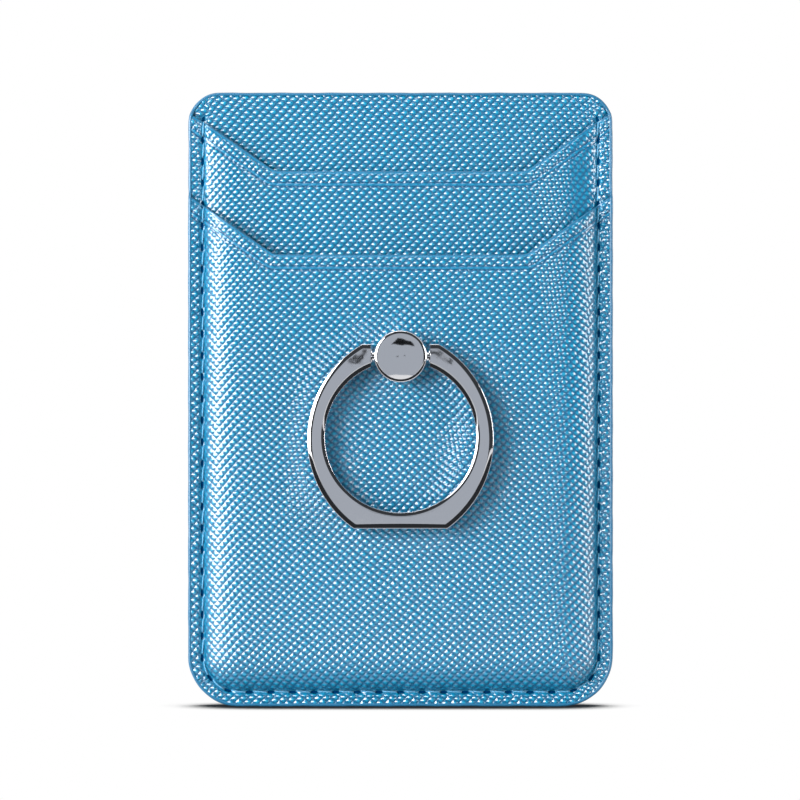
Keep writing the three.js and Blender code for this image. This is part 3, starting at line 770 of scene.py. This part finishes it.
def seamPath(s):
    # distance s along the seam from its top left: down, along the bottom and up the right side
    r = outline["bottomCorner"] - seam["inset"]
    x = halfWidth - seam["inset"]
    bottom = seam["inset"] - halfHeight
    side = seam["top"] - bottom - r
    arc = r * np.pi / 2
    half = side + arc + x - r
    mirror = np.where(s > half, -1, 1)
    t = np.where(s > half, 2 * half - s, s)
    angle = np.clip((t - side) / r, 0, np.pi / 2)
    px = np.where(t < side, -x, np.where(t < side + arc, -x + r - r * np.cos(angle), -x + r + t - side - arc))
    py = np.where(t < side, seam["top"] - t, np.where(t < side + arc, bottom + r - r * np.sin(angle), bottom))
    outX = np.where(t < side, -1, np.where(t < side + arc, -np.cos(angle), 0.0))
    outY = np.where(t < side, 0, np.where(t < side + arc, -np.sin(angle), -1.0))
    return px * mirror, py, outX * mirror, outY


def stitchRow(name, level, outwards):
    # every stitch lies from one needle hole to the next and dives into both
    count, bend, sides = stitch["count"], stitch["bend"], stitch["sides"]
    t = np.linspace(0, 1, bend)
    starts = np.arange(count)[:, None] * seam["pitch"]
    s = starts + stitch["stop"] + (seam["pitch"] - 2 * stitch["stop"]) * t[None]
    x, y, outX, outY = seamPath(s.ravel())
    shift = np.tile(stitch["slant"] * (2 * t - 1), count)
    arch = np.tile(stitch["arch"] * (1 - np.abs(2 * t - 1) ** 4) - stitch["sink"], count)
    z = level(y) + outwards * arch
    path = np.stack((x + outX * shift, y + outY * shift, z), -1).reshape(count, bend, 3)
    rings = []
    taper = np.minimum(1, stitch["tip"] + 4 * np.minimum(t, 1 - t))
    forwards = np.tile([0.0, 0.0, 1.0], (bend, 1))
    for one in path:
        rings.append(tubePoints(one, forwards, stitch["radius"] * taper, sides))
    rings = np.stack(rings)
    for end in (0, -1):
        rings[:, end] = rings[:, end].mean(1, keepdims=True)
    one = gridFaces(bend, sides, closeColumns=True)
    faces = (one[None] + (np.arange(count) * bend * sides)[:, None, None]).reshape(-1, 4)
    along, around = np.meshgrid(t * stitch["turns"] / 2, np.arange(sides) / sides, indexing="ij")
    uv = np.tile(np.stack((along, around), -1).reshape(-1, 2), (count, 1))
    return addMesh(name, rings.reshape(-1, 3), faces, threadBlue, uv=uv, weld=True)


piece = stitchRow("needleStitches", stackTop, 1)
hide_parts("needle_thread")
piece = stitchRow("bobbinStitches", lambda y: depths["pad"] + 0 * y, -1)
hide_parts("bobbin_thread")
print("stitched")

# Finger ring and post
ringLook = {
    "middle": -6.07, "halfWidth": 14.12, "sideRadius": 16.62, "foot": 13.55, "head": 14.4, "bore": 11.42,
    "boreLift": 0.35, "endX": 4.5, "thick": 2.4, "depth": 9.55, "sections": 420, "capShare": 0.82,
    "capPush": 0.1,
    # the rolled edges, as (in from the edge, below the flat face), from the wall to the flat
    "innerRoll": [(0, 0.6), (0.02, 0.3), (0.05, 0.16), (0.08, 0.115), (0.1, 0.105), (0.3, 0.062),
                  (0.5, 0.022), (0.7, 0.002), (0.92, 0), (0.95, 0)],
    "outerRoll": [(0, 0.5), (0.02, 0.25), (0.05, 0.16), (0.1, 0.11), (0.12, 0.105), (0.33, 0.06),
                  (0.55, 0.02), (0.76, 0), (0.78, 0)],
}
pinLook = {"root": 4.9, "shoulderTip": 4.34, "shoulder": 1.2, "radius": 0.75, "tip": 1.85, "chamfer": 0.08,
           "bevel": 0.06, "sides": 40}
postLook = {
    "y": 6.45, "top": 11.05, "dome": 0.08, "domeRadius": 3.46, "headRadius": 3.97, "drumRadius": 3.6,
    "headBack": 0.78, "seat": 7.42, "shankRadius": 1.5, "tailRadius": 2.4, "tailFront": 5.78,
    "tailBack": 5.43,
    # the head's rolled rim, as (in from the rim, below the flat face), from behind to the face
    "roll": [(0.1, 0.75), (0, 0.66), (0, 0.3), (0.03, 0.2), (0.13, 0.09), (0.17, 0.06), (0.36, 0.012),
             (0.5, 0)],
}
chromeLook = {"dark": (0.62, 0.62, 0.65), "light": (0.8, 0.8, 0.82), "smooth": 0.02, "rough": 0.04,
              "wave": 0.25}


def polishedChrome():
    material, tree, shader = newMaterial("polishedChrome")
    place = put(tree, "ShaderNodeTexCoord").outputs["Object"]
    tone = placeGroup(tree, wearGroup, Place=place, Scale=120.0, Amount=0.1)
    colour = blendColour(tree, tone.outputs["Tone"], chromeLook["dark"], chromeLook["light"])
    link(tree, colour, shader.inputs["Base Color"])
    shader.inputs["Metallic"].default_value = 1.0
    uneven = ramp(tree, tone.outputs["Fine"], 0.3, 0.8, chromeLook["smooth"], chromeLook["rough"])
    link(tree, uneven, shader.inputs["Roughness"])
    addBump(tree, shader, times(tree, tone.outputs["Tone"], chromeLook["wave"]))
    return material


chrome = polishedChrome()
chromeSharp = 38  # degrees: edges that turn more stay sharp


def ringMesh():
    # a ray from the bore's centre meets the bore and the outline; the section lies between the two
    cy = ringLook["middle"] + ringLook["boreLift"]
    top = ringLook["middle"] + ringLook["head"]
    foot = ringLook["middle"] - ringLook["foot"]
    sideX = ringLook["sideRadius"] - ringLook["halfWidth"]
    first = math.atan2(ringLook["endX"], top - cy)
    angle = np.linspace(first, 2 * np.pi - first, ringLook["sections"])
    right = np.where(angle <= np.pi, angle, 2 * np.pi - angle)
    sign = np.where(angle <= np.pi, 1.0, -1.0)
    dx, dy = np.sin(right), np.cos(right)
    ox, oy = sideX, cy - ringLook["middle"]
    b = ox * dx + oy * dy
    arcReach = -b + np.sqrt(b * b - (ox * ox + oy * oy - ringLook["sideRadius"] ** 2))
    headReach = (top - cy) / np.maximum(dy, 1e-6)
    footReach = (foot - cy) / np.minimum(dy, -1e-6)
    reach = np.minimum(arcReach, np.where(dy > 0, headReach, footReach))
    outer = np.stack((sign * reach * dx, cy + reach * dy), -1)
    innerEnd = math.asin(ringLook["endX"] / ringLook["bore"])
    turn = right + (innerEnd - first) * np.exp(-(right - first) / 0.2)
    innerRim = np.stack((sign * ringLook["bore"] * np.sin(turn), cy + ringLook["bore"] * np.cos(turn)), -1)
    across = outer - innerRim
    width = np.linalg.norm(across, axis=1)
    across /= width[:, None]
    half = ringLook["thick"] / 2
    # (share of the width, millimetres from that share, height above the middle)
    front = [(0, inwards, half - drop) for inwards, drop in ringLook["innerRoll"]]
    front += [(1, -inwards, half - drop) for inwards, drop in ringLook["outerRoll"][::-1]]
    section = front + [(share, extra, -height) for share, extra, height in front[::-1]]
    rings = []
    for share, extra, height in section:
        at = innerRim + across * (share * width + extra)[:, None]
        rings.append(np.column_stack((at, np.full(len(at), ringLook["depth"] + height))))
    points = np.stack(rings, 1)
    # each end is closed by a slightly smaller copy and a middle point
    caps = []
    for end, push in ((0, -1), (-1, 1)):
        middle = points[end].mean(0)
        small = middle + ringLook["capShare"] * (points[end] - middle)
        small[:, 0] = points[end][:, 0].mean() + push * ringLook["capPush"]
        caps.append((small, np.repeat(small.mean(0)[None], len(section), 0)))
    points = np.concatenate((caps[0][1][None], caps[0][0][None], points, caps[1][0][None], caps[1][1][None]))
    faces = gridFaces(points.shape[0], points.shape[1], closeColumns=True)
    return points.reshape(-1, 3), faces


def lathe(profile, sides=96):
    # (radius, depth) pairs turned about the post's axis, closed on the axis at both ends
    turn = np.linspace(0, 2 * np.pi, sides, endpoint=False)
    profile = np.asarray(profile, dtype=float)
    x = profile[:, 0, None] * np.cos(turn)
    y = profile[:, 0, None] * np.sin(turn) + postLook["y"]
    z = np.repeat(profile[:, 1, None], sides, 1)
    return np.stack((x, y, z), -1).reshape(-1, 3), gridFaces(len(profile), sides, closeColumns=True)


def sidePin(side):
    # a pin along x: shoulder against the ring's end, then the thin pin that turns in the post
    step, shoulder, thin = pinLook["chamfer"], pinLook["shoulder"], pinLook["radius"]
    ledge, tip = pinLook["shoulderTip"], pinLook["tip"]
    sections = [(pinLook["root"], 0), (pinLook["root"], shoulder), (ledge, shoulder),
                (ledge - pinLook["bevel"], shoulder - step), (ledge - pinLook["bevel"], thin),
                (tip, thin), (tip - step, thin - step), (tip - step, 0)]
    turn = np.linspace(0, 2 * np.pi, pinLook["sides"], endpoint=False)
    x = np.array([a for a, _ in sections])[:, None] + 0 * turn
    r = np.array([b for _, b in sections])[:, None]
    y, z = postLook["y"] + r * np.cos(turn), ringLook["depth"] + r * np.sin(turn)
    faces = gridFaces(len(sections), pinLook["sides"], closeColumns=True, flip=side > 0)
    return np.stack((side * x, y, z), -1).reshape(-1, 3), faces


points, faces, start = [], [], 0
for partPoints, partFaces in (ringMesh(), sidePin(-1), sidePin(1)):
    points.append(partPoints)
    faces.append(partFaces + start)
    start += len(partPoints)
piece = addMesh("chromeFingerRing", np.concatenate(points), np.concatenate(faces), chrome, body="ring",
                sharp=chromeSharp, weld=True)
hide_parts("finger_ring")

top = postLook["top"]
radius, drum, shank = postLook["headRadius"], postLook["drumRadius"], postLook["shankRadius"]
tail, tailFront, tailBack = postLook["tailRadius"], postLook["tailFront"], postLook["tailBack"]
profile = [(0, tailBack), (tail, tailBack), (tail, tailFront), (shank, tailFront), (shank, postLook["seat"]),
           (drum, postLook["seat"]), (drum, top - postLook["headBack"])]
profile += [(radius - inwards, top - drop) for inwards, drop in postLook["roll"]]
for r in np.linspace(postLook["domeRadius"], 0, 12):
    profile.append((r, top + postLook["dome"] * (1 - (r / (postLook["domeRadius"] + 0.01)) ** 2)))
points, faces = lathe(profile)
piece = addMesh("chromeSwivelPost", points, faces, chrome, body="post", sharp=chromeSharp, weld=True)
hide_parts("swivel_post")
print("ring and post made")

# Pad on the back
pad = {
    "margin": 4.6, "corner": 4.0, "count": 240,
    # (share of the way out, depth, inset), with a groove half way up the wall
    "section": [(0.0, 0.8, 0), (0.5, 0.8, 0), (1, 0.8, 0.06), (1, 0.74, 0), (1, 0.42, 0.03), (1, 0.4, 0.05),
                (1, 0.38, 0.03), (1, 0.06, 0), (1, 0.0, 0.06), (0.96, 0.0, 0), (0.5, 0.0, 0), (0.0, 0.0, 0)],
}
padLook = {"colour": linear(214, 216, 216), "roughness": 0.45, "toneAmount": 0.15, "bumpHeight": 0.03,
           "scale": 60.0}


def padMesh():
    # rings of a rounded rectangle from the middle of one face, over the edge, to the middle of the other
    halfX, halfY = halfWidth - pad["margin"], halfHeight - pad["margin"]
    path = roundedPath(halfX, halfY, pad["corner"], pad["corner"], pad["count"])
    rings = []
    for share, depth, inset in pad["section"]:
        x = share * (path[:, 0] - inset * path[:, 2])
        y = share * (path[:, 1] - inset * path[:, 3])
        rings.append(np.stack((x, y, np.full(len(path), depth)), -1))
    points = np.stack(rings, 1)
    return points.reshape(-1, 3), gridFaces(len(path), len(pad["section"]), closeRows=True)


adhesiveWhite = plainFinish("adhesiveFoamWhite", **padLook)
points, faces = padMesh()
piece = addMesh("adhesiveBackPad", points, faces, adhesiveWhite, weld=True)
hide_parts("adhesive_pad")

# Finishes of the CAD pieces that stay
boardGrey = plainFinish("pressedBoard", linear(138, 127, 112), 0.9, bumpHeight=0.06, scale=50.0)
steel = plainFinish("brightSteel", linear(176, 178, 181), 0.35, metallic=1.0, bumpHeight=0.01, scale=90.0)
for nodeName, finish in (("stiffener_board", boardGrey), ("base_plate", steel), ("friction_washer", steel)):
    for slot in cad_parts[nodeName].material_slots:
        slot.material = finish
print("hidden pieces finished")

# Camera, light and floor
cameraView = {"place": (-0.00008, -0.6, -0.00014), "sensor": 36, "lens": 175.4, "near": 0.01}
camera = bpy.data.objects.new("camera", bpy.data.cameras.new("camera"))
scene.collection.objects.link(camera)
camera.location = cameraView["place"]
camera.rotation_euler = (math.radians(90), 0, 0)
camera.data.sensor_width = cameraView["sensor"]
camera.data.lens = cameraView["lens"]
camera.data.clip_start = cameraView["near"]
scene.camera = camera


# soft lamps, all turned to the part's centre: place, width, height and power in watts
lamps = {
    "leftPanel": ((-0.47, -0.36, 0.11), 0.45, 0.36, 9.0),
    "leftFrontPanel": ((-0.27, -0.53, 0.1), 0.14, 0.34, 0.9),
    "rightPanel": ((0.55, -0.23, 0.1), 0.3, 0.34, 3.2),
    "topBox": ((-0.1, -0.25, 0.6), 0.5, 0.35, 1.8),
    "frontBox": ((-0.15, -0.9, 0.35), 0.6, 0.5, 0.9),
}
for name, (place, width, height, power) in lamps.items():
    light = bpy.data.lights.new(name, "AREA")
    light.shape = "RECTANGLE"
    light.size, light.size_y, light.energy = width, height, power
    lamp = bpy.data.objects.new(name, light)
    scene.collection.objects.link(lamp)
    lamp.location = place
    direction = -np.array(place)
    flat = math.hypot(direction[0], direction[1])
    lamp.rotation_euler = (math.atan2(flat, -direction[2]), 0, math.atan2(-direction[0], direction[1]))


def seenByRays(tree):
    # 1 for camera, mirror and glass rays
    path = put(tree, "ShaderNodeLightPath")
    seen = calc(tree, "MAXIMUM", path.outputs["Is Camera Ray"], path.outputs["Is Glossy Ray"])
    return calc(tree, "MAXIMUM", seen, path.outputs["Is Transmission Ray"])


fill = {"colour": (0.95, 0.97, 1, 1), "strength": 0.1}
world = bpy.data.worlds.new("paleStudio")
scene.world = world
world.use_nodes = True
tree = world.node_tree
tree.nodes.clear()
seen, unseen = put(tree, "ShaderNodeBackground"), put(tree, "ShaderNodeBackground")
seen.inputs["Color"].default_value = (1, 1, 1, 1)
unseen.inputs["Color"].default_value = fill["colour"]
unseen.inputs["Strength"].default_value = fill["strength"]
mix = put(tree, "ShaderNodeMixShader")
link(tree, seenByRays(tree), mix.inputs["Fac"])
link(tree, unseen.outputs[0], mix.inputs[1])
link(tree, seen.outputs[0], mix.inputs[2])
link(tree, mix.outputs[0], put(tree, "ShaderNodeOutputWorld").inputs["Surface"])


def addFlat(name, corners, material):
    mesh = bpy.data.meshes.new(name)
    mesh.from_pydata(corners, [], [(0, 1, 2, 3)])
    mesh.materials.append(material)
    flat = bpy.data.objects.new(name, mesh)
    scene.collection.objects.link(flat)
    return flat


floorLook = {"level": -0.047, "half": 3, "colour": (0.85, 0.85, 0.85, 1), "roughness": 0.9, "reach": 0.008,
             "dark": (0.02, 0.025, 0.03), "darkAt": 0.5, "clearAt": 0.93}


def floorFinish():
    # white to the camera, with a dark contact shadow close to the part
    material, tree, shader = newMaterial("paleFloor")
    shader.inputs["Base Color"].default_value = floorLook["colour"]
    shader.inputs["Roughness"].default_value = floorLook["roughness"]
    near = put(tree, "ShaderNodeAmbientOcclusion", samples=16)
    near.inputs["Distance"].default_value = floorLook["reach"]
    glow = put(tree, "ShaderNodeEmission")
    clear = ramp(tree, near.outputs["AO"], floorLook["darkAt"], floorLook["clearAt"])
    link(tree, blendColour(tree, clear, floorLook["dark"], (1, 1, 1)), glow.inputs["Color"])
    mix = put(tree, "ShaderNodeMixShader")
    link(tree, seenByRays(tree), mix.inputs["Fac"])
    link(tree, shader.outputs[0], mix.inputs[1])
    link(tree, glow.outputs[0], mix.inputs[2])
    link(tree, mix.outputs[0], tree.nodes["Material Output"].inputs["Surface"])
    return material


floorSigns = ((-1, -1), (1, -1), (1, 1), (-1, 1))
corners = [(sx * floorLook["half"], sy * floorLook["half"], floorLook["level"]) for sx, sy in floorSigns]
addFlat("floor", corners, floorFinish())


def cardFinish(name, strength):
    material, tree, shader = newMaterial(name)
    glow = put(tree, "ShaderNodeEmission")
    glow.inputs["Color"].default_value = (strength * 0.93, strength, strength * 1.1, 1)
    link(tree, glow.outputs[0], tree.nodes["Material Output"].inputs["Surface"])
    return material


wall, darkCardPlane = -0.75, -0.745


def upright(y, left, right, low, high):
    return [(left, y, low), (right, y, low), (right, y, high), (left, y, high)]


def at(y, *places):
    return [(x, y, z) for x, z in places]


# cards seen only in reflections, as (strength, corners): a grey wall behind the camera, dark screens round
# it, and small dark cards whose reflections make the dark patches in the ring's arms and on the post's head
cards = {
    "greyCard": (0.52, upright(wall, -0.13, 0.13, -0.13, 0.13)),
    "dimCard": (0.05, upright(-0.78, -0.36, 0.38, -0.36, 0.36)),
    "rightCard": (0.03, [(0.36, wall, -0.4), (0.7, -0.02, -0.4), (0.7, -0.02, 0.4), (0.36, wall, 0.4)]),
    "lowCard": (0.03, [(-0.3, -0.5, -0.046), (0.3, -0.5, -0.046), (0.3, -0.055, -0.046),
                       (-0.3, -0.055, -0.046)]),
    "highCard": (0.05, [(-0.3, -0.78, 0.36), (0.6, -0.78, 0.36), (0.6, -0.25, 0.42), (-0.3, -0.25, 0.42)]),
    "leftArmReflectionCard": (0.01, at(darkCardPlane, (-0.0178, 0.0118), (-0.0105, 0.0132), (-0.0105, 0.0182),
                              (-0.0145, 0.0172))),
    "rightArmReflectionCard": (0.01, at(darkCardPlane, (0.0108, 0.0146), (0.0172, 0.0138), (0.0142, 0.0178),
                               (0.0108, 0.0188))),
    "headCrescentReflectionCard": (0.01, at(darkCardPlane, (-0.03, 0.056), (0.045, 0.05), (0.034, 0.068), (-0.012, 0.074))),
}
for name, (strength, corners) in cards.items():
    card = addFlat(name, corners, cardFinish(name + "Finish", strength))
    card.visible_camera = False
    card.visible_diffuse = False
    card.visible_shadow = False
    card.visible_transmission = False

scene.view_settings.view_transform = "Standard"
print("lit")
